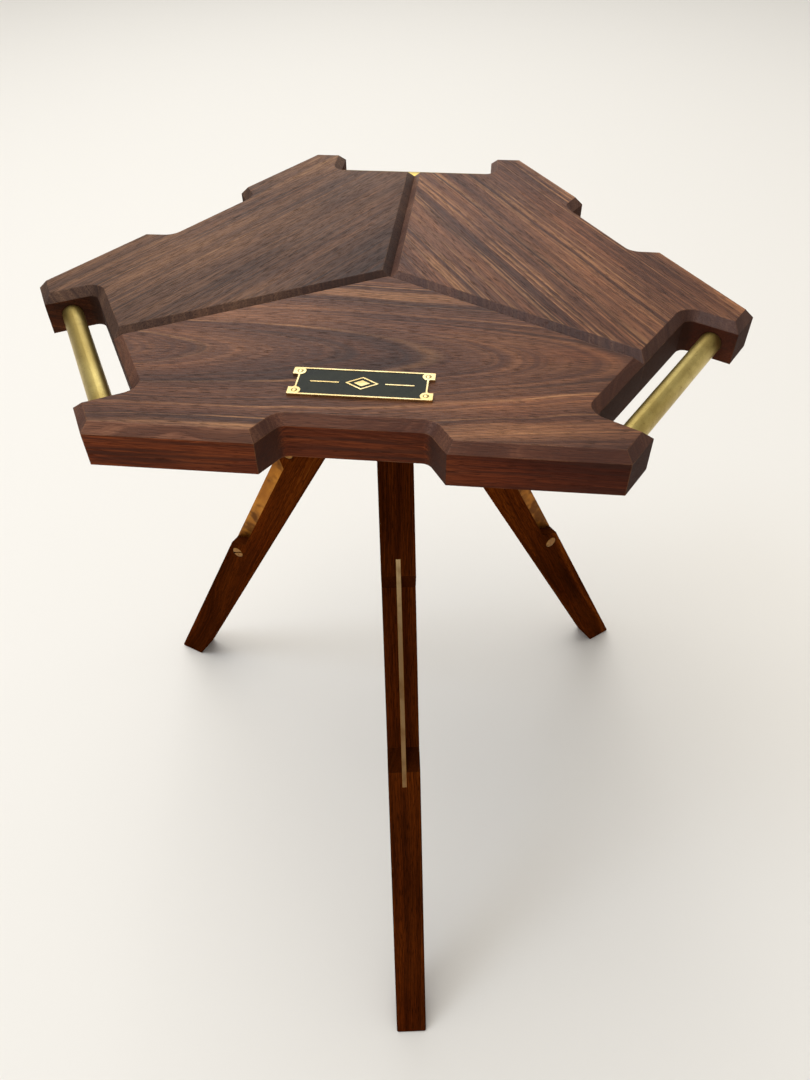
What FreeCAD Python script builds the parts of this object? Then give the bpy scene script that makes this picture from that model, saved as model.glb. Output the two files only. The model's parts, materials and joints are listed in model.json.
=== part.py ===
"""Folding side table: a three-panel wooden top with brass grab rods on a tripod of folding legs.

Millimetres, +Z up. The model is built round the table's own axis and then moved so that the middle of
its footprint on the floor is the origin. The front panel faces -Y.
"""
import FreeCAD, Part
import math
import os

V = FreeCAD.Vector
UP = V(0, 0, 1)

# --- tabletop ---
HEIGHT = 416.0            # floor to the top face
TOP_THICK = 19.0
PANEL_REACH = 137.2       # axis to a panel's long outer side
EAR_REACH = 160.2         # axis to the cut-off tips beside a grab rod
OPENING_REACH = 135.7     # axis to the floor of the grab opening
OPENING_HALF = 46.5       # half the opening's width, along the rod
OPENING_ROUND = 4.5       # inner corners of the opening
NOTCH_HALF_MOUTH = 37.0
NOTCH_HALF_FLOOR = 29.4
NOTCH_DEPTH = 12.4
NOTCH_ROUND = 5.0
EDGE_CHAMFER = 3.9
PANEL_AZIMUTHS = {"front": 270.0, "right": 30.0, "left": 150.0}
SEAM_AZIMUTHS = {"rear": 90.0, "left": 210.0, "right": 330.0}

SPLINE_THICK = 4.0
SPLINE_WIDTH = 16.0
SPLINE_START = 14.0
SPLINE_END = 126.0
SPLINE_BELOW_TOP = 9.5

ROD_RADIUS = 5.0
ROD_REACH = 149.0
ROD_BELOW_TOP = 11.5
ROD_SOCKET = 12.0         # how far a rod goes into each ear
ROD_END_CHAMFER = 0.6
ROD_END_GAP = 0.3         # socket floor to rod end
GLUE_GAP = 0.1

# --- nameplate, left blank but for a plain lozenge ---
PLATE_LENGTH = 59.2
PLATE_WIDTH = 19.4
PLATE_REACH = 99.9        # axis to the middle of the plate
PLATE_THICK = 1.1
PLATE_TAB = 4.9           # corner tabs left by the cut-outs in the short ends
PLATE_TAB_REACH = 2.5
PLATE_TAB_INNER_ROUND = 1.0
PLATE_TAB_OUTER_ROUND = 0.6
PLATE_RIM = 0.8
FIELD_DEPTH = 0.6
ENAMEL_THICK = 0.35
ORNAMENT_THICK = 0.2
LOZENGE_FRAME = (7.0, 4.6)      # half its length, half its width
LOZENGE_WINDOW = (5.7, 3.7)
LOZENGE_CORE = (3.4, 2.2)
RULE_START = 9.5          # middle of the plate to a rule's near end
RULE_LENGTH = 12.0
RULE_WIDTH = 0.7
PIN_HEAD_RADIUS = 1.3
PIN_DOME_RADIUS = 2.2
PIN_LAND = 1.2            # width of the round land left about a pin's head
PIN_SHANK_RADIUS = 0.6
PIN_HOLE_RADIUS = 0.65
PIN_DEPTH = 6.0           # into the panel
PIN_TIP_GAP = 0.2
PIN_INSET_X = 2.9
PIN_INSET_Y = 2.7

# --- mounting plate and hub, under the top ---
MOUNT_RADIUS = 40.0
MOUNT_THICK = 3.0
MOUNT_RIM_CHAMFER = 0.8
BOSS_RADIUS = 9.0
BOSS_HEIGHT = 10.0
BOSS_GAP = 0.3            # round the boss in its pocket
BOSS_POCKET_OVER = 1.0    # pocket deeper than the boss is high
STUD_BORE_RADIUS = 5.0
STUD_RADIUS = 4.95
STUD_HEIGHT = 13.0
WASHER_THICK = 1.0
HUB_RADIUS = 28.0
FLANGE_THICK = 5.0
CORE_FACE = 6.4           # axis to the flat that a leg's head rests against
CORE_HEIGHT = 20.0
TONGUE_THICK = 6.0
TONGUE_NOSE = 11.0
TONGUE_TOP_REACH = 27.0
WOOD_SCREW_CIRCLE = 33.5
WOOD_SCREW_COUNT = 6
WOOD_SCREW_HEAD = 3.4     # radii of the head and the shank
WOOD_SCREW_SHANK = 1.75
WOOD_SCREW_GAP = 0.05
WOOD_SCREW_LENGTH = 12.0
WOOD_SCREW_POINT = 2.0    # length of the tapered point
WOOD_SCREW_TIP = 0.2      # radius at the very tip
WOOD_SCREW_TIP_GAP = 0.2
WOOD_SCREW_SLOT = 0.9     # width and depth of the driver slot

# --- legs ---
TRIPOD_TURN = 7.85        # the tripod stands turned by this much under the top
LEG_SPLAY = 27.1          # outer face from the vertical
FOOT_REACH = 225.6        # axis to the foot's outer edge on the floor
LEG_WIDTH = 19.0
LEG_DEPTH_FOOT = 18.9
LEG_DEPTH_HEAD = 30.7
LEG_TAPER_LENGTH = 445.0
LEG_ROUND = 1.2
HEAD_TRIM = 6.5           # axis to the flat on the inner side of a leg's head
HEAD_CLEARANCE = 0.3
PIVOT_REACH = 22.0
PIVOT_BELOW_TOP = 51.0
FORK_WIDTH = 6.4
FORK_BELOW_PIVOT = 14.0
FORK_REACH = 40.0         # how far the slot's cutter runs past the pivot, to either side
FORK_RISE = 60.0

RECESS_START = 195.6      # stations are measured up the outer face from the floor
RECESS_END = 317.2
RECESS_DEPTH = 10.4
BAR_START = 185.7
BAR_END = 326.8
BAR_DEPTH = 14.0
BAR_THICK = 2.5
BAR_PIN_INSET = 5.0       # bar end to pin
BAR_PIN_DEPTH = 7.7       # outer face to pin

# --- binding posts: a hollow sleeve with a plain head, and a slotted screw that fills it ---
PIVOT_SLEEVE_RADIUS = 4.0
PIVOT_HEAD_RADIUS = 6.5
PIVOT_HEAD_THICK = 2.0
PIVOT_BORE = 2.0
BAR_SLEEVE_RADIUS = 2.5
BAR_HEAD_RADIUS = 4.5
BAR_HEAD_THICK = 1.5
BAR_BORE = 1.5
RUNNING_GAP = 0.05        # round a shaft in its hole
HEAD_GAP = 0.1            # round a head in its recess
POST_HEAD_CHAMFER = 0.4
POST_END_GAP = 0.5        # shank end to the sleeve's floor
DRIVER_SLOT_WIDTH = 1.2
DRIVER_SLOT_DEPTH = 0.9
DRIVER_SLOT_TURN = 25.0

OVER = 1.0                # how far a cutter reaches past the piece it cuts


def rotated(shape, azimuth):
    turned = shape.copy()
    turned.rotate(V(0, 0, 0), UP, azimuth)
    return turned


def moved(shape, offset):
    shifted = shape.copy()
    shifted.translate(offset)
    return shifted


def flat_prism(points, bottom, top):
    """Upright prism over a plan outline of (x, y) points."""
    outline = [V(x, y, bottom) for x, y in points]
    return Part.Face(Part.makePolygon(outline + outline[:1])).extrude(V(0, 0, top - bottom))


def rounded_uprights(shape, spots, radius):
    """Rounds the upright edges that stand at the given (x, y) spots."""
    edges = []
    for edge in shape.Edges:
        middle = edge.valueAt((edge.FirstParameter + edge.LastParameter) / 2)
        upright = abs(edge.tangentAt(edge.FirstParameter).z) > 0.99
        if upright and any(math.dist((middle.x, middle.y), spot) < 0.01 for spot in spots):
            edges.append(edge)
    return shape.makeFillet(radius, edges)


def disc(radius, bottom, top, x=0.0, y=0.0):
    return Part.makeCylinder(radius, top - bottom, V(x, y, bottom))


# ---------------------------------------------------------------- tabletop

TOP = HEIGHT
UNDERSIDE = HEIGHT - TOP_THICK


def seam_point(reach, across):
    """A point beside the front panel's right-hand seam: reach along it, across it towards the panel."""
    along = (math.cos(math.radians(-30)), math.sin(math.radians(-30)))
    sideways = (-math.cos(math.radians(60)), -math.sin(math.radians(60)))
    return (reach * along[0] + across * sideways[0], reach * along[1] + across * sideways[1])


def panel_blank():
    """The front panel: a wedge with a grab opening cut across each tip and a notch in its long side."""
    seam_tip = seam_point(OPENING_REACH, 0)
    opening_corner = seam_point(OPENING_REACH, OPENING_HALF)
    ear_inner = seam_point(EAR_REACH, OPENING_HALF)
    ear_across = (PANEL_REACH - EAR_REACH * 0.5) / math.cos(math.radians(30))
    ear_outer = seam_point(EAR_REACH, ear_across)
    notch_mouth = (NOTCH_HALF_MOUTH, -PANEL_REACH)
    notch_floor = (NOTCH_HALF_FLOOR, -(PANEL_REACH - NOTCH_DEPTH))
    right_side = [seam_tip, opening_corner, ear_inner, ear_outer, notch_mouth, notch_floor]
    left_side = [(-x, y) for x, y in reversed(right_side)]
    blank = flat_prism([(0, 0)] + right_side + left_side, UNDERSIDE, TOP)

    def both(spot):
        return [spot, (-spot[0], spot[1])]

    blank = rounded_uprights(blank, both(opening_corner), OPENING_ROUND)
    blank = rounded_uprights(blank, both(notch_floor), NOTCH_ROUND)
    top_edges = [e for e in blank.Edges if min(v.Z for v in e.Vertexes) > TOP - 0.01]
    return blank.makeChamfer(EDGE_CHAMFER, top_edges)


def spline_bar(azimuth):
    middle = TOP - SPLINE_BELOW_TOP
    bar = Part.makeBox(SPLINE_END - SPLINE_START, SPLINE_WIDTH, SPLINE_THICK,
                       V(SPLINE_START, -SPLINE_WIDTH / 2, middle - SPLINE_THICK / 2))
    return rotated(bar, azimuth)


def grab_rod(azimuth, radius=ROD_RADIUS, extra=0.0):
    half = OPENING_HALF + ROD_SOCKET + extra
    rod = Part.makeCylinder(radius, 2 * half, V(ROD_REACH, -half, TOP - ROD_BELOW_TOP), V(0, 1, 0))
    return rotated(rod, azimuth)


def rod_handle(azimuth):
    rod = grab_rod(azimuth)
    ends = [e for e in rod.Edges if abs(e.Length - 2 * math.pi * ROD_RADIUS) < 0.1]
    return rod.makeChamfer(ROD_END_CHAMFER, ends)


def wood_screw_spots():
    step = 360.0 / WOOD_SCREW_COUNT
    return [rotated(Part.Vertex(WOOD_SCREW_CIRCLE, 0, 0), step * i).Point for i in range(WOOD_SCREW_COUNT)]


def wood_screw_hole(spot):
    depth = WOOD_SCREW_LENGTH - MOUNT_THICK + WOOD_SCREW_TIP_GAP
    return disc(WOOD_SCREW_SHANK + WOOD_SCREW_GAP, UNDERSIDE, UNDERSIDE + depth, spot.x, spot.y)


def boss_pocket():
    return disc(BOSS_RADIUS + BOSS_GAP, UNDERSIDE, UNDERSIDE + BOSS_HEIGHT + BOSS_POCKET_OVER)


def panel(azimuth):
    shape = rotated(panel_blank(), azimuth - PANEL_AZIMUTHS["front"])
    cuts = [spline_bar(a) for a in SEAM_AZIMUTHS.values()]
    cuts += [grab_rod(a, ROD_RADIUS + GLUE_GAP, ROD_END_GAP) for a in SEAM_AZIMUTHS.values()]
    cuts += [wood_screw_hole(spot) for spot in wood_screw_spots()]
    cuts.append(boss_pocket())
    if azimuth == PANEL_AZIMUTHS["front"]:
        cuts += plate_pin_holes(TOP - PIN_DEPTH - PIN_TIP_GAP, TOP)
    return shape.cut(Part.makeCompound(cuts))


# ---------------------------------------------------------------- nameplate

PLATE_TOP = TOP + PLATE_THICK
FIELD_FLOOR = PLATE_TOP - FIELD_DEPTH
ENAMEL_TOP = FIELD_FLOOR + ENAMEL_THICK


def plate_pin_spots():
    x = PLATE_LENGTH / 2 - PIN_INSET_X
    y = PLATE_WIDTH / 2 - PIN_INSET_Y
    return [V(sx * x, -PLATE_REACH + sy * y, 0) for sx in (-1, 1) for sy in (-1, 1)]


def plate_pin_holes(bottom, top):
    return [disc(PIN_HOLE_RADIUS, bottom, top, spot.x, spot.y) for spot in plate_pin_spots()]


def plate_field(bottom, top):
    """The sunk field: a rectangle that stops short of the round lands under the four pins."""
    half_x = PLATE_LENGTH / 2 - PLATE_TAB_REACH - PLATE_RIM
    half_y = PLATE_WIDTH / 2 - PLATE_RIM
    field = Part.makeBox(2 * half_x, 2 * half_y, top - bottom, V(-half_x, -PLATE_REACH - half_y, bottom))
    lands = [disc(PIN_HEAD_RADIUS + PIN_LAND, bottom, top, spot.x, spot.y) for spot in plate_pin_spots()]
    return field.cut(Part.makeCompound(lands))


def nameplate():
    half_x = PLATE_LENGTH / 2
    half_y = PLATE_WIDTH / 2
    plate = Part.makeBox(PLATE_LENGTH, PLATE_WIDTH, PLATE_THICK, V(-half_x, -PLATE_REACH - half_y, TOP))
    cut_half = half_y - PLATE_TAB
    for x0 in (half_x - PLATE_TAB_REACH, -half_x - OVER):
        plate = plate.cut(Part.makeBox(PLATE_TAB_REACH + OVER, 2 * cut_half, PLATE_THICK,
                                       V(x0, -PLATE_REACH - cut_half, TOP)))
    inner = [(s * (half_x - PLATE_TAB_REACH), -PLATE_REACH + t * cut_half) for s in (-1, 1) for t in (-1, 1)]
    outer = [(s * half_x, -PLATE_REACH + t * half_y) for s in (-1, 1) for t in (-1, 1)]
    plate = rounded_uprights(plate, inner, PLATE_TAB_INNER_ROUND)
    plate = rounded_uprights(plate, outer, PLATE_TAB_OUTER_ROUND)
    plate = plate.cut(plate_field(FIELD_FLOOR, PLATE_TOP))
    return plate.cut(Part.makeCompound(plate_pin_holes(TOP, PLATE_TOP)))


def lozenge(half_sizes):
    half_x, half_y = half_sizes
    points = [(half_x, 0), (0, half_y), (-half_x, 0), (0, -half_y)]
    return flat_prism([(x, y - PLATE_REACH) for x, y in points], ENAMEL_TOP, ENAMEL_TOP + ORNAMENT_THICK)


def plate_ornament():
    """A plain lozenge in a lozenge frame between two straight rules."""
    pieces = [lozenge(LOZENGE_FRAME).cut(lozenge(LOZENGE_WINDOW)), lozenge(LOZENGE_CORE)]
    for x in (-RULE_START - RULE_LENGTH, RULE_START):
        corner = V(x, -PLATE_REACH - RULE_WIDTH / 2, ENAMEL_TOP)
        pieces.append(Part.makeBox(RULE_LENGTH, RULE_WIDTH, ORNAMENT_THICK, corner))
    return Part.makeCompound(pieces)


def plate_pins():
    """Round-headed brass pins."""
    dome_drop = math.sqrt(PIN_DOME_RADIUS ** 2 - PIN_HEAD_RADIUS ** 2)
    pins = []
    for spot in plate_pin_spots():
        ball = Part.makeSphere(PIN_DOME_RADIUS, V(spot.x, spot.y, PLATE_TOP - dome_drop))
        head = ball.common(disc(PIN_DOME_RADIUS, PLATE_TOP, PLATE_TOP + PIN_DOME_RADIUS, spot.x, spot.y))
        pins.append(head.fuse(disc(PIN_SHANK_RADIUS, TOP - PIN_DEPTH, PLATE_TOP, spot.x, spot.y)))
    return Part.makeCompound(pins)


# ---------------------------------------------------------------- mounting plate and hub

MOUNT_BOTTOM = UNDERSIDE - MOUNT_THICK
WASHER_BOTTOM = MOUNT_BOTTOM - WASHER_THICK
FLANGE_BOTTOM = WASHER_BOTTOM - FLANGE_THICK
PIVOT_Z = TOP - PIVOT_BELOW_TOP


def countersink(spot, gap=0.0):
    depth = WOOD_SCREW_HEAD - WOOD_SCREW_SHANK
    middle = V(spot.x, spot.y, MOUNT_BOTTOM)
    return Part.makeCone(WOOD_SCREW_HEAD + gap, WOOD_SCREW_SHANK + gap, depth, middle)


def mount_plate():
    plate = disc(MOUNT_RADIUS, MOUNT_BOTTOM, UNDERSIDE)
    lower = [e for e in plate.Edges if e.BoundBox.ZMax < UNDERSIDE - 0.5 * MOUNT_THICK]
    rim = [e for e in lower if abs(e.Length - 2 * math.pi * MOUNT_RADIUS) < 0.1]
    plate = plate.makeChamfer(MOUNT_RIM_CHAMFER, rim)
    plate = plate.fuse(disc(BOSS_RADIUS, UNDERSIDE, UNDERSIDE + BOSS_HEIGHT))
    plate = plate.cut(disc(STUD_BORE_RADIUS, MOUNT_BOTTOM, UNDERSIDE + BOSS_HEIGHT))
    for spot in wood_screw_spots():
        plate = plate.cut(disc(WOOD_SCREW_SHANK + WOOD_SCREW_GAP, MOUNT_BOTTOM, UNDERSIDE, spot.x, spot.y))
        plate = plate.cut(countersink(spot, WOOD_SCREW_GAP))
    return plate


def mount_screws():
    """Countersunk wood screws with a straight slot."""
    point_start = MOUNT_BOTTOM + WOOD_SCREW_LENGTH - WOOD_SCREW_POINT
    slot_half = WOOD_SCREW_HEAD + OVER
    screws = []
    for spot in wood_screw_spots():
        shank = disc(WOOD_SCREW_SHANK, MOUNT_BOTTOM, point_start, spot.x, spot.y)
        point = Part.makeCone(WOOD_SCREW_SHANK, WOOD_SCREW_TIP, WOOD_SCREW_POINT,
                              V(spot.x, spot.y, point_start))
        slot = Part.makeBox(2 * slot_half, WOOD_SCREW_SLOT, WOOD_SCREW_SLOT,
                            V(spot.x - slot_half, spot.y - WOOD_SCREW_SLOT / 2, MOUNT_BOTTOM))
        screws.append(shank.fuse([point, countersink(spot)]).cut(slot))
    return Part.makeCompound(screws)


def hub_washer():
    washer = disc(HUB_RADIUS, WASHER_BOTTOM, MOUNT_BOTTOM)
    return washer.cut(disc(STUD_BORE_RADIUS, WASHER_BOTTOM, MOUNT_BOTTOM))


def hub_tongue():
    """One radial tongue, at azimuth 0, with its pivot hole."""
    diagonal = TONGUE_NOSE * math.sqrt(0.5)
    nose_low = V(PIVOT_REACH, 0, PIVOT_Z - TONGUE_NOSE)
    nose_mid = V(PIVOT_REACH + diagonal, 0, PIVOT_Z - diagonal)
    nose_out = V(PIVOT_REACH + TONGUE_NOSE, 0, PIVOT_Z)
    corners = [nose_out, V(TONGUE_TOP_REACH, 0, FLANGE_BOTTOM), V(0, 0, FLANGE_BOTTOM),
               V(0, 0, nose_low.z), nose_low]
    edges = [Part.Arc(nose_low, nose_mid, nose_out).toShape()]
    edges += [Part.makeLine(a, b) for a, b in zip(corners, corners[1:])]
    tongue = Part.Face(Part.Wire(edges)).extrude(V(0, TONGUE_THICK, 0))
    tongue.translate(V(0, -TONGUE_THICK / 2, 0))
    hole = Part.makeCylinder(PIVOT_SLEEVE_RADIUS + RUNNING_GAP, TONGUE_THICK,
                             V(PIVOT_REACH, -TONGUE_THICK / 2, PIVOT_Z), V(0, 1, 0))
    return tongue.cut(hole)


def hub():
    """Flange, threaded stud, three-sided core and three tongues, cast as one piece."""
    corner = 2 * CORE_FACE
    corner_angles = [math.radians(a) for a in (60, 180, 300)]
    core_plan = [(corner * math.cos(a), corner * math.sin(a)) for a in corner_angles]
    core = flat_prism(core_plan, FLANGE_BOTTOM - CORE_HEIGHT, FLANGE_BOTTOM)
    flange = disc(HUB_RADIUS, FLANGE_BOTTOM, WASHER_BOTTOM)
    stud = disc(STUD_RADIUS, WASHER_BOTTOM, WASHER_BOTTOM + STUD_HEIGHT)
    tongues = [rotated(hub_tongue(), a) for a in (0, 120, 240)]
    casting = flange.fuse([stud, core] + tongues).removeSplitter()
    return rotated(casting, LEG_AZIMUTHS["front"])


# ---------------------------------------------------------------- legs
# A leg is drawn at azimuth 0: x runs outwards, y across the leg, z up.

LEG_AZIMUTHS = {side: azimuth + TRIPOD_TURN for side, azimuth in PANEL_AZIMUTHS.items()}
FOOT = V(FOOT_REACH, 0, 0)
UP_LEG = V(-math.sin(math.radians(LEG_SPLAY)), 0, math.cos(math.radians(LEG_SPLAY)))
OUT_OF_LEG = V(math.cos(math.radians(LEG_SPLAY)), 0, math.sin(math.radians(LEG_SPLAY)))
PIVOT = V(PIVOT_REACH, 0, PIVOT_Z)


def on_leg(station, depth):
    """A point a given way up the outer face and a given depth under it."""
    return FOOT + UP_LEG * station - OUT_OF_LEG * depth


def inner_line_at(axis, value):
    """The point of the leg's inner line where x or z has the given value."""
    low = on_leg(0, LEG_DEPTH_FOOT)
    high = on_leg(LEG_TAPER_LENGTH, LEG_DEPTH_HEAD)
    share = (value - low[axis]) / (high[axis] - low[axis])
    return low + (high - low) * share


def across_leg(points, width):
    """A prism over points in the leg's own plane, centred across the leg."""
    face = Part.Face(Part.makePolygon(points + points[:1]))
    return moved(face.extrude(V(0, width, 0)), V(0, -width / 2, 0))


def leg_blank():
    """Tapered leg, cut level at the foot, with a head that is round about the pivot on its inner side."""
    head_radius = FLANGE_BOTTOM - HEAD_CLEARANCE - PIVOT_Z
    head_top = PIVOT_Z + head_radius
    outer_top = FOOT + UP_LEG * (head_top / UP_LEG.z)
    over_pivot = V(PIVOT_REACH, 0, head_top)
    trim_drop = math.sqrt(head_radius ** 2 - (PIVOT_REACH - HEAD_TRIM) ** 2)
    trim_top = V(HEAD_TRIM, 0, PIVOT_Z + trim_drop)
    half_way = math.radians(90 + 0.5 * math.degrees(math.atan2(PIVOT_REACH - HEAD_TRIM, trim_drop)))
    arc_middle = PIVOT + V(math.cos(half_way), 0, math.sin(half_way)) * head_radius
    trim_bottom = inner_line_at(0, HEAD_TRIM)
    foot_inner = inner_line_at(2, 0.0)
    straight = [trim_top, trim_bottom, foot_inner, FOOT, outer_top, over_pivot]
    edges = [Part.makeLine(a, b) for a, b in zip(straight, straight[1:])]
    edges.append(Part.Arc(over_pivot, arc_middle, trim_top).toShape())
    blank = Part.Face(Part.Wire(edges)).extrude(V(0, LEG_WIDTH, 0))
    blank.translate(V(0, -LEG_WIDTH / 2, 0))
    soft_edges = []
    for edge in blank.Edges:
        runs_up = edge.Length > 0.5 * LEG_TAPER_LENGTH
        at_foot = max(v.Z for v in edge.Vertexes) < 0.01
        if runs_up or at_foot:
            soft_edges.append(edge)
    return blank.makeFillet(LEG_ROUND, soft_edges)


def recess():
    """The cut in the outer face, with a ramp at each end."""
    points = [on_leg(RECESS_START - OVER, -OVER), on_leg(RECESS_START + RECESS_DEPTH, RECESS_DEPTH),
              on_leg(RECESS_END - RECESS_DEPTH, RECESS_DEPTH), on_leg(RECESS_END + OVER, -OVER)]
    return across_leg(points, LEG_WIDTH + 2 * OVER)


def leg_bar_blank():
    points = [on_leg(BAR_START, 0), on_leg(BAR_START, BAR_DEPTH),
              on_leg(BAR_END, BAR_DEPTH), on_leg(BAR_END, 0)]
    return across_leg(points, BAR_THICK)


def bar_pin_centres():
    return [on_leg(BAR_START + BAR_PIN_INSET, BAR_PIN_DEPTH), on_leg(BAR_END - BAR_PIN_INSET, BAR_PIN_DEPTH)]


def fork_slot():
    """The slot in the leg's head that straddles a hub tongue."""
    foot_middle = (FOOT + inner_line_at(2, 0.0)) * 0.5
    down = (foot_middle - PIVOT).normalize()
    side = V(-down.z, 0, down.x) * FORK_REACH
    floor = PIVOT + down * FORK_BELOW_PIVOT
    ceiling = floor - down * FORK_RISE
    return across_leg([floor + side, floor - side, ceiling - side, ceiling + side], FORK_WIDTH)


def across(radius, start, end, centre):
    """A cylinder across the leg from y = start to y = end."""
    return Part.makeCylinder(radius, end - start, V(centre.x, start, centre.z), V(0, 1, 0))


def binding_post_holes(centre, shaft, head, head_thick):
    half = LEG_WIDTH / 2
    return [across(shaft + RUNNING_GAP, -half, half, centre),
            across(head + HEAD_GAP, -half - OVER, -half + head_thick, centre),
            across(head + HEAD_GAP, half - head_thick, half + OVER, centre)]


def leg():
    centres = bar_pin_centres()
    cuts = [recess(), leg_bar_blank(), fork_slot()]
    cuts += binding_post_holes(PIVOT, PIVOT_SLEEVE_RADIUS, PIVOT_HEAD_RADIUS, PIVOT_HEAD_THICK)
    for centre in centres:
        cuts += binding_post_holes(centre, BAR_SLEEVE_RADIUS, BAR_HEAD_RADIUS, BAR_HEAD_THICK)
    shape = leg_blank()
    for cutter in cuts:
        shape = shape.cut(cutter)
    return shape


def leg_bar():
    shape = leg_bar_blank()
    for centre in bar_pin_centres():
        shape = shape.cut(across(BAR_SLEEVE_RADIUS + RUNNING_GAP, -BAR_THICK, BAR_THICK, centre))
    return shape


def binding_post_sleeve(centre, shaft, head, head_thick, bore):
    """The half with the plain head and the hollow shaft; its head is on the -y side."""
    half = LEG_WIDTH / 2
    sleeve = across(head, -half, -half + head_thick, centre)
    rim = [e for e in sleeve.Edges if e.BoundBox.YMax < -half + 0.01 and e.Length > head]
    sleeve = sleeve.makeChamfer(POST_HEAD_CHAMFER, rim)
    sleeve = sleeve.fuse(across(shaft, -half + head_thick, half - head_thick - HEAD_GAP, centre))
    return sleeve.cut(across(bore + RUNNING_GAP, 0, half, centre))


def binding_post_screw(centre, head, head_thick, bore):
    """The half with the slotted head, on the +y side; its shank screws into the sleeve."""
    half = LEG_WIDTH / 2
    screw = across(head, half - head_thick, half, centre)
    rim = [e for e in screw.Edges if e.BoundBox.YMin > half - 0.01 and e.Length > head]
    screw = screw.makeChamfer(POST_HEAD_CHAMFER, rim)
    screw = screw.fuse(across(bore, POST_END_GAP, half - head_thick, centre))
    slot = Part.makeBox(2 * (head + OVER), DRIVER_SLOT_DEPTH + OVER, DRIVER_SLOT_WIDTH,
                        V(-head - OVER, half - DRIVER_SLOT_DEPTH, -DRIVER_SLOT_WIDTH / 2))
    slot.rotate(V(0, 0, 0), V(0, 1, 0), DRIVER_SLOT_TURN)
    slot.translate(V(centre.x, 0, centre.z))
    return screw.cut(slot)


def leg_nodes():
    """Every piece of one leg, still at azimuth 0."""
    centres = bar_pin_centres()
    sleeves = [binding_post_sleeve(c, BAR_SLEEVE_RADIUS, BAR_HEAD_RADIUS, BAR_HEAD_THICK, BAR_BORE)
               for c in centres]
    screws = [binding_post_screw(c, BAR_HEAD_RADIUS, BAR_HEAD_THICK, BAR_BORE) for c in centres]
    return {
        "": leg(),
        "_bar": leg_bar(),
        "_bar_sleeves": Part.makeCompound(sleeves),
        "_bar_screws": Part.makeCompound(screws),
        "_pivot_sleeve": binding_post_sleeve(PIVOT, PIVOT_SLEEVE_RADIUS, PIVOT_HEAD_RADIUS,
                                             PIVOT_HEAD_THICK, PIVOT_BORE),
        "_pivot_screw": binding_post_screw(PIVOT, PIVOT_HEAD_RADIUS, PIVOT_HEAD_THICK, PIVOT_BORE),
    }


# ---------------------------------------------------------------- the whole table

def all_nodes():
    nodes = {}
    for side, azimuth in PANEL_AZIMUTHS.items():
        nodes["panel_" + side] = panel(azimuth)
    for side, azimuth in SEAM_AZIMUTHS.items():
        nodes["seam_spline_" + side] = spline_bar(azimuth)
        nodes["handle_rod_" + side] = rod_handle(azimuth)
    nodes["nameplate"] = nameplate()
    nodes["nameplate_enamel"] = plate_field(FIELD_FLOOR, ENAMEL_TOP)
    nodes["nameplate_ornament"] = plate_ornament()
    nodes["nameplate_pins"] = plate_pins()
    nodes["mount_plate"] = mount_plate()
    nodes["mount_plate_screws"] = mount_screws()
    nodes["hub"] = hub()
    nodes["hub_washer"] = hub_washer()
    pieces = leg_nodes()
    for side, azimuth in LEG_AZIMUTHS.items():
        for suffix, shape in pieces.items():
            nodes["leg_" + side + suffix] = rotated(shape, azimuth)
    return nodes


def footprint_middle(shapes):
    boxes = [shape.optimalBoundingBox(False, False) for shape in shapes]
    x = (min(b.XMin for b in boxes) + max(b.XMax for b in boxes)) / 2
    y = (min(b.YMin for b in boxes) + max(b.YMax for b in boxes)) / 2
    return V(x, y, 0)


def main():
    os.makedirs("parts", exist_ok=True)
    nodes = all_nodes()
    middle = footprint_middle(nodes.values())
    for name, shape in nodes.items():
        moved(shape, -middle).exportStep("parts/" + name + ".step")


main()
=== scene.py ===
"""Looks of the folding side table: oiled walnut top and legs, brass rods, bars, plate and hub.

Every CAD node keeps its shape. Here it gets a procedural material, whose normals soften the corners.
"""

import json
import math

import bpy
from mathutils import Euler, Matrix, Quaternion, Vector


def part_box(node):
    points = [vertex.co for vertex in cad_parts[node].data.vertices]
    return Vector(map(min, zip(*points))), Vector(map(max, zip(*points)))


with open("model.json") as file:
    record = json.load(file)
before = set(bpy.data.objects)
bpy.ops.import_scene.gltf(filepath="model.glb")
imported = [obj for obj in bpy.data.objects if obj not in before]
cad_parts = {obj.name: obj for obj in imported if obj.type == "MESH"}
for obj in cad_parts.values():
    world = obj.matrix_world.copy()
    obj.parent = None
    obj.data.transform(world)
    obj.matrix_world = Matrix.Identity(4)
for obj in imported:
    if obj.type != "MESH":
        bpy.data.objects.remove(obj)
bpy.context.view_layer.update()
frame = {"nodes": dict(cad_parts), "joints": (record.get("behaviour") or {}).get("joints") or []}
nodes = frame["nodes"]
scene = bpy.context.scene

MM = 0.001
UP = (0.0, 0.0, 1.0)
UNTURNED = (0.0, 0.0, 0.0)
joints = {joint["name"]: joint for joint in frame["joints"]}
AXIS = Vector(joints["hub_swivel"]["pos_m"])
TOP_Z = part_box("panel_front")[1].z
LEG_SPLAY = math.radians(27.1)


def srgb(red, green, blue):
    linear = [(c / 12.92 if c <= 0.04045 else ((c + 0.055) / 1.055) ** 2.4)
              for c in (red / 255, green / 255, blue / 255)]
    return (*linear, 1.0)


# ---- node helpers ----------------------------------------------------------------------------

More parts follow.
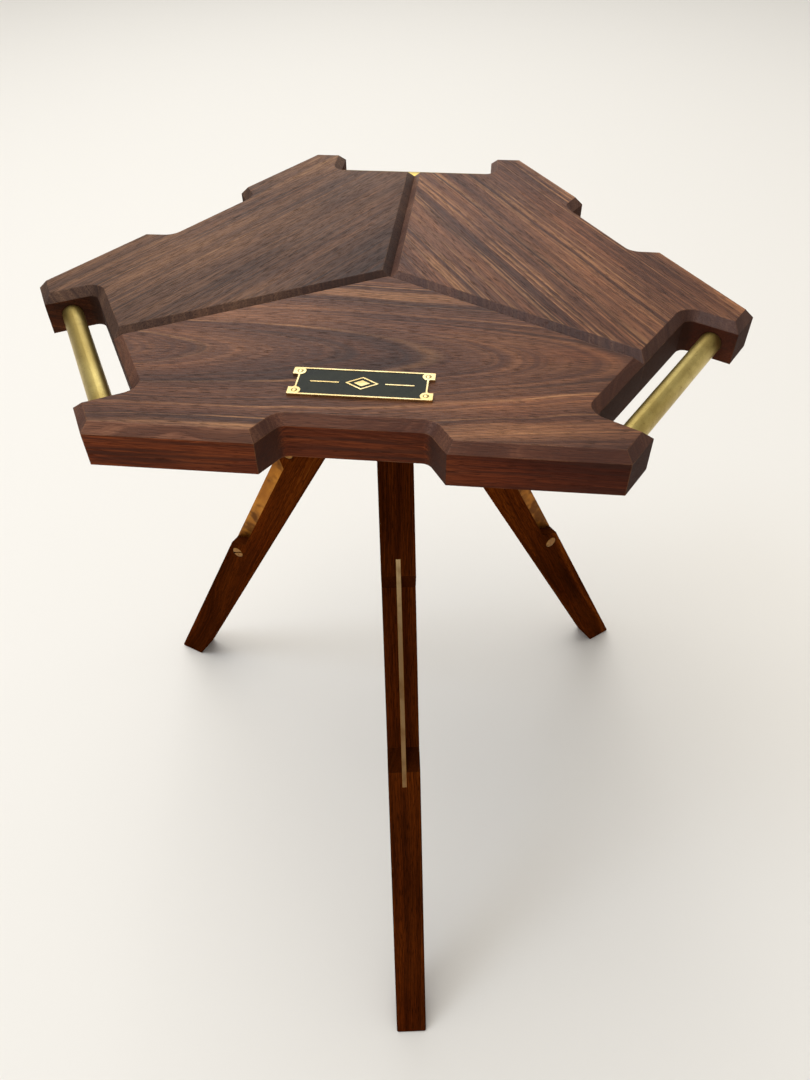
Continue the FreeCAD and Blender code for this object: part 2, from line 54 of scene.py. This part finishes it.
class Shader:
    """A material's node tree, with one short call per node."""

    BEVEL_SAMPLES = 6
    # Cosine between the softened and the true normal, on flat parts and on the corners.
    FLAT_COSINE, CORNER_COSINE = 0.995, 0.90

    def __init__(self, name):
        self.material = bpy.data.materials.new(name)
        self.material.use_nodes = True
        self.tree = self.material.node_tree
        self.surface = self.tree.nodes["Principled BSDF"]

    def node(self, kind, inputs=(), **settings):
        made = self.tree.nodes.new("ShaderNode" + kind)
        for key, value in settings.items():
            setattr(made, key, value)
        for socket, value in dict(inputs).items():
            self.feed(made.inputs[socket], value)
        return made

    def feed(self, socket, value):
        if isinstance(value, bpy.types.NodeSocket):
            self.tree.links.new(value, socket)
        else:
            socket.default_value = value

    def math(self, operation, *values, clamp=False):
        made = self.node("Math", dict(enumerate(values)), operation=operation)
        made.use_clamp = clamp
        return made.outputs[0]

    def total(self, first, *others):
        for value in others:
            first = self.math("ADD", first, value)
        return first

    def product(self, first, *others):
        for value in others:
            first = self.math("MULTIPLY", first, value)
        return first

    def flipped(self, value):
        return self.math("SUBTRACT", 1.0, value)

    def line(self, value, at_zero, at_one):
        """at_zero where value is 0, at_one where it is 1, and straight between them."""
        return self.math("MULTIPLY_ADD", value, at_one - at_zero, at_zero)

    def swing(self, value, spread, middle=0.0):
        """A value between 0 and 1, spread evenly about middle."""
        return self.math("MULTIPLY_ADD", value, spread, middle - spread / 2)

    def step(self, value, low, high, to_low=0.0, to_high=1.0):
        made = self.node("MapRange", {0: value, 1: low, 2: high, 3: to_low, 4: to_high},
                         interpolation_type="SMOOTHSTEP")
        return made.outputs[0]

    def ridge(self, value, width):
        """Thin irregular lines, where a noise crosses its middle value."""
        return self.step(self.math("ABSOLUTE", self.math("SUBTRACT", value, 0.5)), width, 0.0)

    def mix(self, share, a, b, blend="MIX"):
        made = self.node("Mix", {0: share, 6: a, 7: b}, data_type="RGBA", blend_type=blend)
        return made.outputs[2]

    def ramp(self, value, stops):
        made = self.node("ValToRGB", {0: value})
        elements = made.color_ramp.elements
        while len(elements) < len(stops):
            elements.new(0.5)
        for element, (position, colour) in zip(elements, stops):
            element.position = position
            element.color = colour
        return made.outputs[0]

    def vector_math(self, operation, a, b):
        return self.node("VectorMath", {0: a, 1: b}, operation=operation).outputs

    def axes(self, origin, rotation):
        """Object coordinates in millimetres about origin, turned so that X runs along rotation's X."""
        coords = self.node("TexCoord").outputs["Object"]
        made = self.node("Mapping", {"Vector": coords, "Location": origin, "Rotation": rotation,
                                     "Scale": (MM, MM, MM)}, vector_type="TEXTURE")
        return made.outputs[0]

    def moved(self, vector, seed, strides):
        """The same coordinates moved, so that each seed reads another piece of the noise."""
        return self.vector_math("ADD", vector, [seed * stride for stride in strides])[0]

    def split(self, vector):
        return self.node("SeparateXYZ", {0: vector}).outputs

    def noise(self, vector, scale, detail=3.0, roughness=0.5, distortion=0.0):
        made = self.node("TexNoise", {"Vector": vector, "Scale": scale, "Detail": detail,
                                      "Roughness": roughness, "Distortion": distortion})
        return made.outputs[0]

    def streaks(self, vector, per_mm, detail=3.0, roughness=0.5):
        """Noise with its own frequency along each of the three axes."""
        return self.noise(self.vector_math("MULTIPLY", vector, per_mm)[0], 1.0, detail, roughness)

    def line_noise(self, value, scale, detail=3.0, roughness=0.5):
        made = self.node("TexNoise", {"W": value, "Scale": scale, "Detail": detail,
                                      "Roughness": roughness}, noise_dimensions="1D")
        return made.outputs[0]

    def cosine(self, a, b):
        return self.vector_math("DOT_PRODUCT", a, b)["Value"]

    def facing(self, direction, low, high):
        """1 where the piece's own surface faces along direction, either way."""
        own_normal = self.node("TexCoord").outputs["Normal"]
        return self.step(self.math("ABSOLUTE", self.cosine(own_normal, direction)), low, high)

    def rounded(self, reach):
        """Normals as if the corners were rounded over by reach metres."""
        return self.node("Bevel", {"Radius": reach}, samples=self.BEVEL_SAMPLES).outputs[0]

    def edges(self, rounded_normal):
        """0 on flat parts, up to 1 on the corners."""
        true_normal = self.node("NewGeometry").outputs["Normal"]
        return self.step(self.cosine(rounded_normal, true_normal),
                         self.FLAT_COSINE, self.CORNER_COSINE)

    def bump(self, height, strength, distance, normal=None):
        inputs = {"Height": height, "Strength": strength, "Distance": distance}
        if normal is not None:
            inputs["Normal"] = normal
        return self.node("Bump", inputs).outputs[0]

    def finished(self, colour, roughness, normal, metallic=0.0):
        self.feed(self.surface.inputs["Base Color"], colour)
        self.feed(self.surface.inputs["Roughness"], roughness)
        self.feed(self.surface.inputs["Normal"], normal)
        self.surface.inputs["Metallic"].default_value = metallic
        return self.material


# ---- walnut ----------------------------------------------------------------------------------

# Noise frequencies in a board, per millimetre: along the grain, across it, and through it.
DRIFT = (0.0050, 0.013, 0.013)
RIPPLE = (0.016, 0.05, 0.05)
FIBRE = (0.032, 2.0, 2.0)
CLOUD = (0.008, 0.03, 0.03)
PATCH = (0.0130, 0.0286, 0.0286)
TONE_DRIFT = (0.007, 0.035, 0.035)
PORE = (0.15, 3.0, 3.0)
LAYER = (0.012, 0.20, 0.55)
RUBBING = (0.05, 0.08, 0.08)
SMEAR = (0.02, 0.03, 0.03)
BOARD_STRIDES = (173.0, 91.0, 57.0)

# Where the five tones of a wood stand on its figure, from dark to light.
TONE_STOPS = (0.10, 0.34, 0.52, 0.70, 0.95)
# How much each scale of detail adds to the figure.
BAND_WEIGHT, FINE_WEIGHT, FIBRE_WEIGHT, CLOUD_WEIGHT = 0.95, 0.58, 0.90, 0.60
# The other rings read the radius this many millimetres further out, to fall apart from the bands.
STRIPE_OFFSET, TAN_OFFSET, DARK_OFFSET, SEED_OFFSET = 137.0, 311.0, 977.0, 40.0
DARK_LINE_WIDTH = 0.040
PORE_DARKNESS, PORE_SHARE = 0.35, 0.72
END_GRAIN_SHARE, LAYER_SHARE, WORN_SHARE = 0.80, 0.62, 0.35

# Cosines to the vertical, or to the grain, over which a surface counts as one kind or the other.
LEVEL_FACE = (0.80, 0.97)
CHAMFER_FACE = (0.40, 0.60)
UNSAWN_FACE = (0.05, 0.60)
END_FACE = (0.25, 0.90)
# Millimetres along the board over which the sawn edges go from their first tint to their second.
EDGE_CHANGE = (-20.0, 90.0)

# Factors on the wood's colour. In the photo the light falls off to the right and the window's cool
# light lies on the chamfers. The last four carry what the even studio light leaves out of that.
ROSY = (1.14, 0.96, 0.86, 1.0)
PURPLISH = (0.80, 0.76, 0.86, 1.0)
COOL_CHAMFER_REFLECTION = (0.95, 1.45, 2.60, 1.0)
WARM_CHAMFER_REFLECTION = (1.65, 1.85, 2.70, 1.0)
SHADED_EDGE = (0.84, 0.36, 0.14, 1.0)
LIT_EDGE = (1.45, 0.72, 0.30, 1.0)


def walnut(name, origin, rotation, seed, pith, tilt, tones, wave=9.0, band=0.10, contrast=1.0,
           tan_lines=0.5, tan_rate=0.09, tan_width=0.035, tan_end=None,
           dark_lines=0.4, dark_rate=0.30, stripes=0.35, mottle=0.8,
           shade=0.0, light_across=0.0, light_along=0.0, side_light_along=0.0, edge_depth=0.85, chamfer_shading=0.30,
           chamfer_reflection=COOL_CHAMFER_REFLECTION, edge_light_and_shade=(SHADED_EDGE, SHADED_EDGE), sheen=0.42, gloss=0.20):
    """Oiled walnut cut from a log whose middle runs at pith (across, down) in the board's axes.

    shade darkens the figure. slope lightens it for each millimetre across the board and fade for each
    millimetre along it, and side_light_along does the same as fade off the level faces: painted light
    and shade, such as the legs darker towards the foot. The sawn edges go from the first of
    edge_light_and_shade to the second along the board, painted light and shade. The tan lines die out
    from the first to the second value of tan_end, in across - along / 2. sheen is the mean roughness
    and gloss the specular level.
    """
    s = Shader(name)
    board = s.axes(origin, rotation)
    x, y, z = s.split(board)
    placed = s.moved(board, seed, BOARD_STRIDES)
    face = s.facing(UP, *LEVEL_FACE)
    off_face = s.flipped(face)

    # Growth rings: distance from the log's middle, made to wander along the board.
    drift = s.streaks(placed, DRIFT, 2.0, 0.45)
    ripple = s.streaks(placed, RIPPLE, 3.0, 0.5)
    wobble = s.total(s.swing(drift, 2 * wave), s.swing(ripple, 0.5 * wave))
    across = s.total(s.math("SUBTRACT", y, pith[0]), wobble)
    down = s.total(z, pith[1], s.product(x, tilt))
    radius = s.math("SQRT", s.total(s.product(across, across), s.product(down, down)))
    radius = s.total(radius, seed * SEED_OFFSET)

    bands = s.line_noise(radius, band, 4.0, 0.60)
    stripe = s.line_noise(s.total(radius, STRIPE_OFFSET), 0.26, 2.0, 0.55)
    fine = s.line_noise(radius, 1.00, 3.0, 0.75)
    fibre = s.streaks(placed, FIBRE, 5.0, 0.78)
    cloud = s.streaks(placed, CLOUD, 3.0, 0.5)
    patch = s.streaks(placed, PATCH, 2.0, 0.5)

    # slope, fade and side_light_along shift the figure across the board, along it and on the sides:
    # painted light and shade.
    figure = s.total(s.swing(bands, BAND_WEIGHT * contrast, 0.5 - shade),
                     s.total(s.product(y, light_across), s.product(x, light_along)),
                     s.product(off_face, s.product(x, side_light_along)),
                     s.swing(stripe, stripes),
                     s.swing(fine, FINE_WEIGHT),
                     s.swing(fibre, FIBRE_WEIGHT),
                     s.swing(cloud, CLOUD_WEIGHT))
    dark, deep, _, _, light = tones
    colour = s.ramp(figure, list(zip(TONE_STOPS, tones)))

    # The heartwood's colour drifts between rosy and purplish along the board.
    tone_drift = s.streaks(placed, TONE_DRIFT, 3.0, 0.6)
    colour = s.mix(s.step(tone_drift, 0.50, 0.72, 0.0, mottle), colour, ROSY, "MULTIPLY")
    colour = s.mix(s.step(tone_drift, 0.48, 0.28, 0.0, mottle), colour, PURPLISH, "MULTIPLY")

    # Single tan and dark rings, which come and go along the board.
    tan_ridge = s.ridge(s.line_noise(s.total(radius, TAN_OFFSET), tan_rate, 2.0, 0.45), tan_width)
    tan_share = s.product(tan_ridge, s.step(patch, 0.36, 0.60, 0.15, tan_lines),
                          s.line(face, 0.2, 1.0))
    if tan_end is not None:
        corner = s.math("MULTIPLY_ADD", x, -0.5, y)
        tan_share = s.product(tan_share, s.step(corner, *tan_end, 1.0, 0.15))
    colour = s.mix(s.product(tan_share, s.step(fibre, 0.30, 0.60, 0.6, 1.0)), colour, light)
    dark_rings = s.line_noise(s.total(radius, DARK_OFFSET), dark_rate, 3.0, 0.55)
    dark_share = s.product(s.ridge(dark_rings, DARK_LINE_WIDTH),
                           s.step(cloud, 0.62, 0.40, 0.15, dark_lines))
    colour = s.mix(dark_share, colour, dark)

    pore_field = s.streaks(placed, PORE, 1.5, 0.5)
    pore = s.product(s.step(pore_field, 0.54, 0.63), s.step(fine, 0.35, 0.60, 0.4, 1.0))
    pore_tone = [PORE_DARKNESS * part for part in dark[:3]] + [1.0]
    colour = s.mix(s.product(pore, PORE_SHARE), colour, pore_tone)

    # Off the level top the figure gives way to the deep tone: painted shade on the chamfers and
    # sides. The chamfers then take chamfer_reflection, a painted reflection of cool window light.
    colour = s.mix(s.line(face, chamfer_shading, 0.0), colour, deep)
    planed = s.product(off_face, s.facing(UP, *CHAMFER_FACE))
    colour = s.mix(s.product(planed, chamfer_shading), colour, chamfer_reflection, "MULTIPLY")
    # End grain drinks more oil and turns darker; its strong darkening here is partly painted shade
    # too. The sawn edges are multiplied by painted light and shade, from the first of
    # edge_light_and_shade to the second along the board.
    grain = Euler(rotation).to_matrix().col[0]
    end_grain = s.facing(grain, *END_FACE)
    colour = s.mix(s.product(end_grain, END_GRAIN_SHARE), colour, dark)
    sawn_edge = s.flipped(s.facing(UP, *UNSAWN_FACE))
    painted_edge_share = s.line(end_grain, edge_depth, 0.4 * edge_depth)
    painted_edge_tint = s.mix(s.step(x, *EDGE_CHANGE), *edge_light_and_shade)
    colour = s.mix(s.product(sawn_edge, painted_edge_share), colour, painted_edge_tint, "MULTIPLY")
    layers = s.streaks(placed, LAYER, 4.0, 0.65)
    layer_share = s.product(s.step(layers, 0.48, 0.62), edge_depth, LAYER_SHARE)
    colour = s.mix(s.product(sawn_edge, layer_share), colour, dark)

    # Handling has rubbed the corners paler and a little smoother, in patches.
    corner_normal = s.rounded(0.8 * MM)
    rubbed = s.step(s.streaks(placed, RUBBING, 3.0, 0.6), 0.42, 0.66)
    worn = s.product(s.edges(corner_normal), rubbed)
    colour = s.mix(s.product(worn, WORN_SHARE), colour, light)

    # Pores and sawn wood are rougher, worn corners and chamfers smoother.
    smear = s.streaks(placed, SMEAR, 4.0, 0.6)
    rough = s.total(s.swing(smear, 0.18, sheen), s.product(pore, 0.25), s.swing(fibre, 0.14),
                    s.product(worn, -0.06), s.product(planed, -0.06))
    open_wood = s.math("MAXIMUM", sawn_edge, end_grain)
    rough = s.math("MULTIPLY_ADD", open_wood, 0.5 * edge_depth, rough, clamp=True)

    relief = s.bump(s.flipped(pore), 0.5, 0.18 * MM, corner_normal)
    relief = s.bump(fibre, 0.30, 0.12 * MM, relief)
    s.surface.inputs["Specular IOR Level"].default_value = gloss
    return s.finished(colour, rough, relief)


# ---- metal and the small parts ---------------------------------------------------------------

BRASS_CLOUD = (0.03, 0.07, 0.07)
BRASS_STRIDES = (31.0, 17.0, 71.0)
DRAWN_LINES = (0.02, 4.0, 4.0)
STAIN_EDGE = 0.26
SAWN_METAL = (0.80, 0.95)
# How dark the painted shade on a bar's sawn edge gets.
EDGE_SHADE_DEPTH = 0.65


def brass(name, tones, origin, rotation, seed, sheen=0.30, lines=0.10, line_size=DRAWN_LINES,
          blotch=0.5, blotch_size=0.11, blotch_detail=4.0, blotch_from=0.46, speckle=0.25,
          edge_tone=None, edge_way=None, edge_shade=None):
    """Brass in three tones (bright, dull and stain), with drawn or ground lines along X.

    It is dulled in clouds and stained in blotches, which begin where their noise passes blotch_from.
    edge_tone colours the faces that look along edge_way, such as a bar's sawn edges. They darken from
    the first to the second value of edge_shade, in millimetres along X: painted shade.
    """
    bright, dull, stain = tones
    s = Shader(name)
    piece = s.axes(origin, rotation)
    placed = s.moved(piece, seed, BRASS_STRIDES)
    cloud = s.streaks(placed, BRASS_CLOUD, 4.0, 0.6)
    spots = s.noise(placed, blotch_size, blotch_detail, 0.55)
    specks = s.noise(placed, 1.3, 2.0, 0.6)
    lined = s.streaks(placed, line_size, 3.0, 0.7)
    stained = s.product(s.step(spots, blotch_from, blotch_from + STAIN_EDGE), blotch)
    stained = s.math("ADD", stained, s.step(specks, 0.56, 0.78, 0.0, speckle), clamp=True)
    colour = s.mix(s.step(cloud, 0.34, 0.66), bright, dull)
    if edge_tone is not None:
        sawn = s.facing(edge_way, *SAWN_METAL)
        # Painted shade: the sawn edges darken towards the foot.
        edge_shade_share = s.step(s.split(piece)[0], *edge_shade, 0.0, EDGE_SHADE_DEPTH)
        colour = s.mix(sawn, colour, s.mix(edge_shade_share, edge_tone, stain))
        stained = s.product(stained, s.line(sawn, 1.0, 0.5))
    colour = s.mix(stained, colour, stain)
    colour = s.mix(s.math("MULTIPLY_ADD", lined, 0.9, -0.25, clamp=True), colour, dull)

    corner_normal = s.rounded(0.4 * MM)
    rubbed = s.edges(corner_normal)
    colour = s.mix(s.product(rubbed, 0.45), colour, bright)
    rough = s.total(s.swing(cloud, 0.16, sheen), s.product(stained, 0.22), s.swing(lined, 0.16))
    rough = s.math("SUBTRACT", rough, s.product(rubbed, 0.08), clamp=True)
    relief = s.bump(lined, lines, 0.08 * MM, corner_normal)
    return s.finished(colour, rough, relief, metallic=1.0)


def turned_brass(name, tones, origin):
    """Brass in three tones (bright, dull and stain), faced on a lathe: rings about the table's axis."""
    bright, dull, stain = tones
    s = Shader(name)
    piece = s.axes(origin, UNTURNED)
    x, y, _ = s.split(piece)
    radius = s.math("SQRT", s.total(s.product(x, x), s.product(y, y)))
    rings = s.line_noise(radius, 3.2, 3.0, 0.7)
    cloud = s.noise(piece, 0.06, 4.0, 0.6, 0.4)
    spots = s.step(s.noise(piece, 0.21, 4.0, 0.6, 0.8), 0.55, 0.70)
    colour = s.mix(s.step(cloud, 0.36, 0.64), bright, dull)
    colour = s.mix(s.product(spots, 0.45), colour, stain)
    corner_normal = s.rounded(0.5 * MM)
    colour = s.mix(s.product(s.edges(corner_normal), 0.5), colour, bright)
    rough = s.total(s.line(rings, 0.22, 0.40), s.product(spots, 0.15))
    return s.finished(colour, rough, s.bump(rings, 0.25, 0.06 * MM, corner_normal), metallic=1.0)


def enamel(name, origin):
    """Dark green-black enamel fill, slightly uneven and dusty."""
    s = Shader(name)
    piece = s.axes(origin, UNTURNED)
    cloud = s.noise(piece, 0.12, 4.0, 0.6)
    grains = s.noise(piece, 2.2, 2.0, 0.6)
    colour = s.mix(s.step(cloud, 0.35, 0.65), srgb(28, 30, 23), srgb(40, 42, 33))
    colour = s.mix(s.step(grains, 0.58, 0.78, 0.0, 0.35), colour, srgb(92, 92, 82))
    s.surface.inputs["Specular IOR Level"].default_value = 0.14
    return s.finished(colour, s.line(cloud, 0.38, 0.63), s.bump(grains, 0.10, 0.04 * MM))


def fibre_board(name, origin):
    """Vulcanised fibre washer, red-brown with pressed felt specks."""
    s = Shader(name)
    felt = s.noise(s.axes(origin, UNTURNED), 1.4, 5.0, 0.7, 0.5)
    colour = s.mix(s.step(felt, 0.36, 0.66), srgb(88, 40, 28), srgb(124, 66, 44))
    return s.finished(colour, s.line(felt, 0.5, 0.7), s.bump(felt, 0.3, 0.1 * MM))


def give(node_name, material):
    mesh_object = nodes[node_name]
    for slot in mesh_object.material_slots:
        slot.link = "OBJECT"
        slot.material = material
    if not mesh_object.material_slots:
        mesh_object.data.materials.append(material)


# ---- what each node wears --------------------------------------------------------------------

# Woods, from dark to light.
TOP_TONES = (srgb(50, 28, 19), srgb(78, 45, 29), srgb(104, 65, 42), srgb(130, 83, 53),
             srgb(176, 124, 80))
LEFT_TONES = (srgb(44, 27, 19), srgb(68, 42, 28), srgb(92, 61, 40), srgb(114, 77, 50),
              srgb(156, 114, 74))
LEG_TONES = (srgb(40, 14, 3), srgb(63, 25, 5), srgb(85, 36, 7), srgb(106, 49, 11),
             srgb(130, 72, 27))
BIRCH_TONES = (srgb(148, 112, 76), srgb(176, 140, 98), srgb(196, 162, 118), srgb(208, 178, 136),
               srgb(220, 196, 158))
# Metals: bright, dull and stain.
BAR_TONES = (srgb(190, 126, 40), srgb(150, 90, 24), srgb(78, 42, 13))
FASTENER_TONES = (srgb(164, 118, 58), srgb(124, 82, 36), srgb(58, 34, 16))
ROD_TONES = (srgb(208, 186, 112), srgb(170, 146, 78), srgb(104, 78, 34))
PLATE_TONES = (srgb(244, 222, 168), srgb(218, 190, 126), srgb(150, 116, 62))
HUB_TONES = (srgb(196, 160, 92), srgb(160, 124, 62), srgb(96, 66, 30))
BAR_EDGE_TONE = srgb(222, 192, 142)

# Degrees about the table's axis. A panel's grain runs along its long outer side.
PANEL_GRAIN = {"front": 0.0, "right": 120.0, "left": 60.0}
ROD_TURN = {"rear": 0.0, "left": 120.0, "right": 60.0}

# In these looks slope, side_light_along, chamfer_shading, chamfer_reflection and edge_light_and_shade
# paint light and shade onto the wood.
PANEL_LOOKS = {
    "front": dict(
        tones=TOP_TONES, seed=1.0, pith=(-78.0, 34.0), tilt=0.10, wave=12.0, band=0.075,
        contrast=0.90, tan_lines=0.75, tan_rate=0.045, tan_width=0.026, tan_end=(-140.0, -170.0),
        dark_lines=0.62, dark_rate=0.16, stripes=0.50, shade=-0.03, light_across=0.0010,
        side_light_along=-0.0014, chamfer_shading=0.42, chamfer_reflection=WARM_CHAMFER_REFLECTION,
        edge_light_and_shade=(LIT_EDGE, SHADED_EDGE), gloss=0.17),
    "right": dict(
        tones=TOP_TONES, seed=2.3, pith=(-320.0, 140.0), tilt=0.01, wave=4.0, band=0.085,
        contrast=0.7, tan_lines=0.70, tan_rate=0.085, tan_width=0.028,
        dark_lines=0.60, dark_rate=0.16, stripes=0.55, mottle=0.4, shade=0.06,
        side_light_along=0.0014, chamfer_shading=0.45, gloss=0.17),
    "left": dict(
        tones=LEFT_TONES, seed=3.7, pith=(260.0, 180.0), tilt=0.01, wave=5.0, band=0.05,
        contrast=0.40, tan_lines=0.15, tan_rate=0.07, tan_width=0.02,
        dark_lines=0.65, dark_rate=0.20, stripes=0.38, mottle=0.35, shade=0.17, light_across=0.0021,
        side_light_along=-0.0004, sheen=0.46, gloss=0.16),
}
# fade darkens the legs towards the foot: painted shade.
LEG_LOOK = dict(
    tones=LEG_TONES, pith=(90.0, 60.0), tilt=0.02, wave=7.0, band=0.10, contrast=0.6,
    tan_lines=0.2, dark_lines=0.35, stripes=0.2, shade=-0.08, light_along=0.0006,
    edge_depth=0.0, chamfer_shading=0.0, sheen=0.58, gloss=0.0)
SPLINE_LOOK = dict(
    tones=BIRCH_TONES, seed=9.0, pith=(40.0, 30.0), tilt=0.0, edge_depth=0.2, chamfer_shading=0.0)
# A bar's sawn edge darkens towards the foot, as painted shade.
BAR_LOOK = dict(
    sheen=0.36, line_size=(0.03, 2.6, 2.6), blotch=0.85, blotch_size=0.085, blotch_detail=2.0,
    edge_tone=BAR_EDGE_TONE, edge_shade=(-80.0, -150.0))
FASTENER_LOOK = dict(sheen=0.32, line_size=(0.8, 0.8, 0.8), blotch=0.7, blotch_size=0.5)
ROD_LOOK = dict(
    sheen=0.37, lines=0.30, line_size=(0.05, 4.0, 4.0), blotch=0.30, blotch_size=0.10, speckle=0.5)
PLATE_LOOK = dict(seed=4.0, sheen=0.26, blotch=0.35, blotch_size=0.3)

LEG_SEEDS = {"front": 5.1, "right": 6.4, "left": 7.9}
FASTENER_SEED_STEP = 1.7
# The right leg's bar is stained over more of its length.
BAR_STAIN_FROM = {"front": 0.46, "right": 0.33, "left": 0.46}
FASTENER_SUFFIXES = ("_bar_sleeves", "_bar_screws", "_pivot_sleeve", "_pivot_screw")


def turned(degrees):
    return (0.0, 0.0, math.radians(degrees))


top_origin = Vector((AXIS.x, AXIS.y, TOP_Z))
for side, look in PANEL_LOOKS.items():
    give("panel_" + side,
         walnut("walnut_top_" + side, top_origin, turned(PANEL_GRAIN[side]), **look))

for side, seed in LEG_SEEDS.items():
    fold = joints[f"leg_{side}_fold"]
    tangent = Vector(fold["axis"])
    outward = tangent.cross(Vector(UP))
    along = (math.cos(LEG_SPLAY) * Vector(UP) - math.sin(LEG_SPLAY) * outward).normalized()
    outer_face = tangent.cross(along)
    leg_turn = Matrix((along, tangent, along.cross(tangent))).transposed().to_euler()
    pivot = Vector(fold["pos_m"])
    give("leg_" + side, walnut("walnut_leg_" + side, pivot, leg_turn, seed=seed, **LEG_LOOK))
    give(f"leg_{side}_bar",
         brass("brass_bar_" + side, BAR_TONES, pivot, leg_turn, seed,
               blotch_from=BAR_STAIN_FROM[side], edge_way=outer_face, **BAR_LOOK))
    fastener = brass("brass_fastener_" + side, FASTENER_TONES, pivot, leg_turn,
                     seed + FASTENER_SEED_STEP, **FASTENER_LOOK)
    for suffix in FASTENER_SUFFIXES:
        give(f"leg_{side}{suffix}", fastener)

for side, degrees in ROD_TURN.items():
    low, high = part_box("handle_rod_" + side)
    rod_seed = degrees / 37.0 + 1.0
    give("handle_rod_" + side,
         brass("brass_rod_" + side, ROD_TONES, (low + high) / 2, turned(degrees), rod_seed,
               **ROD_LOOK))
    give("seam_spline_" + side,
         walnut("walnut_spline_" + side, top_origin, turned(degrees + 90.0), **SPLINE_LOOK))

plate_low, plate_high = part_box("nameplate")
plate_middle = (plate_low + plate_high) / 2
plate_brass = brass("brass_plate", PLATE_TONES, plate_middle, UNTURNED, **PLATE_LOOK)
for name in ("nameplate", "nameplate_ornament", "nameplate_pins"):
    give(name, plate_brass)
give("nameplate_enamel", enamel("enamel_plate", plate_middle))

hub_metal = turned_brass("brass_hub", HUB_TONES, AXIS)
for name in ("hub", "mount_plate", "mount_plate_screws"):
    give(name, hub_metal)
give("hub_washer", fibre_board("fibre_washer", AXIS))


# ---- floor, light and camera -----------------------------------------------------------------

FLOOR_RADIUS, FLOOR_SIDES = 14.0, 96


def floor_disc(radius, count):
    points = [(radius * math.cos(a), radius * math.sin(a), 0.0)
              for a in (2 * math.pi * k / count for k in range(count))]
    mesh = bpy.data.meshes.new("floor")
    mesh.from_pydata(points, [], [list(range(count))])
    made = bpy.data.objects.new("floor", mesh)
    scene.collection.objects.link(made)
    return made


floor = floor_disc(FLOOR_RADIUS, FLOOR_SIDES)
paint = Shader("floor_paint")
paint.surface.inputs["Base Color"].default_value = srgb(226, 222, 215)
paint.surface.inputs["Roughness"].default_value = 0.85
floor.data.materials.append(paint.material)

world = bpy.data.worlds.new("studio")
world.use_nodes = True
background = world.node_tree.nodes["Background"]
background.inputs["Color"].default_value = (1.0, 0.99, 0.97, 1.0)
background.inputs["Strength"].default_value = 0.45
scene.world = world
scene.view_settings.view_transform = "Standard"


def add_light(name, kind, energy, colour, direction):
    """A light that shines along direction."""
    data = bpy.data.lights.new(name, kind)
    data.energy = energy
    data.color = colour
    made = bpy.data.objects.new(name, data)
    made.rotation_mode = "QUATERNION"
    made.rotation_quaternion = Vector(direction).to_track_quat("-Z", "Y")
    scene.collection.objects.link(made)
    return made


def softbox(name, place, aim, size, power, colour):
    """A round area light at place, size metres across, aimed at aim."""
    made = add_light(name, "AREA", power, colour, Vector(aim) - Vector(place))
    made.data.shape = "DISK"
    made.data.size = size
    made.location = place
    made.visible_camera = False


softbox("window", (-0.5, 2.4, 2.3), (0, 0, 0.3), 2.2, 20.0, (0.93, 0.96, 1.0))
softbox("ceiling", (-0.8, 0.2, 3.6), (0, 0, 0.3), 3.2, 64.0, (1.0, 0.98, 0.94))
softbox("wall", (2.3, 0.5, 1.0), (0, 0, 0.4), 2.0, 2.5, (1.0, 0.97, 0.92))
softbox("skylight", (-1.35, -0.5, 2.1), (0, 0, 0.4), 0.8, 9.0, (0.70, 0.82, 1.0))
sun = add_light("studio_sky", "SUN", 0.65, (1.0, 0.98, 0.94), (0.25, -0.15, -1.0))
sun.data.angle = math.radians(80)

CAMERA_PLACE = (0.06143, -0.34751, 0.60383)
YAW, PITCH, ROLL = math.radians(-6.179), math.radians(-44.338), math.radians(-0.666)
FOCAL_LENGTH, SENSOR_WIDTH = 27.233, 36.0
lens = bpy.data.cameras.new("camera")
lens.sensor_width = SENSOR_WIDTH
lens.lens = FOCAL_LENGTH
lens.clip_start = 0.01
lens.clip_end = 60.0
camera = bpy.data.objects.new("camera", lens)
scene.collection.objects.link(camera)
looking = Vector((math.sin(YAW) * math.cos(PITCH), math.cos(YAW) * math.cos(PITCH), math.sin(PITCH)))
camera.location = CAMERA_PLACE
camera.rotation_mode = "QUATERNION"
camera.rotation_quaternion = looking.to_track_quat("-Z", "Y") @ Quaternion((0, 0, 1), ROLL)
scene.camera = camera
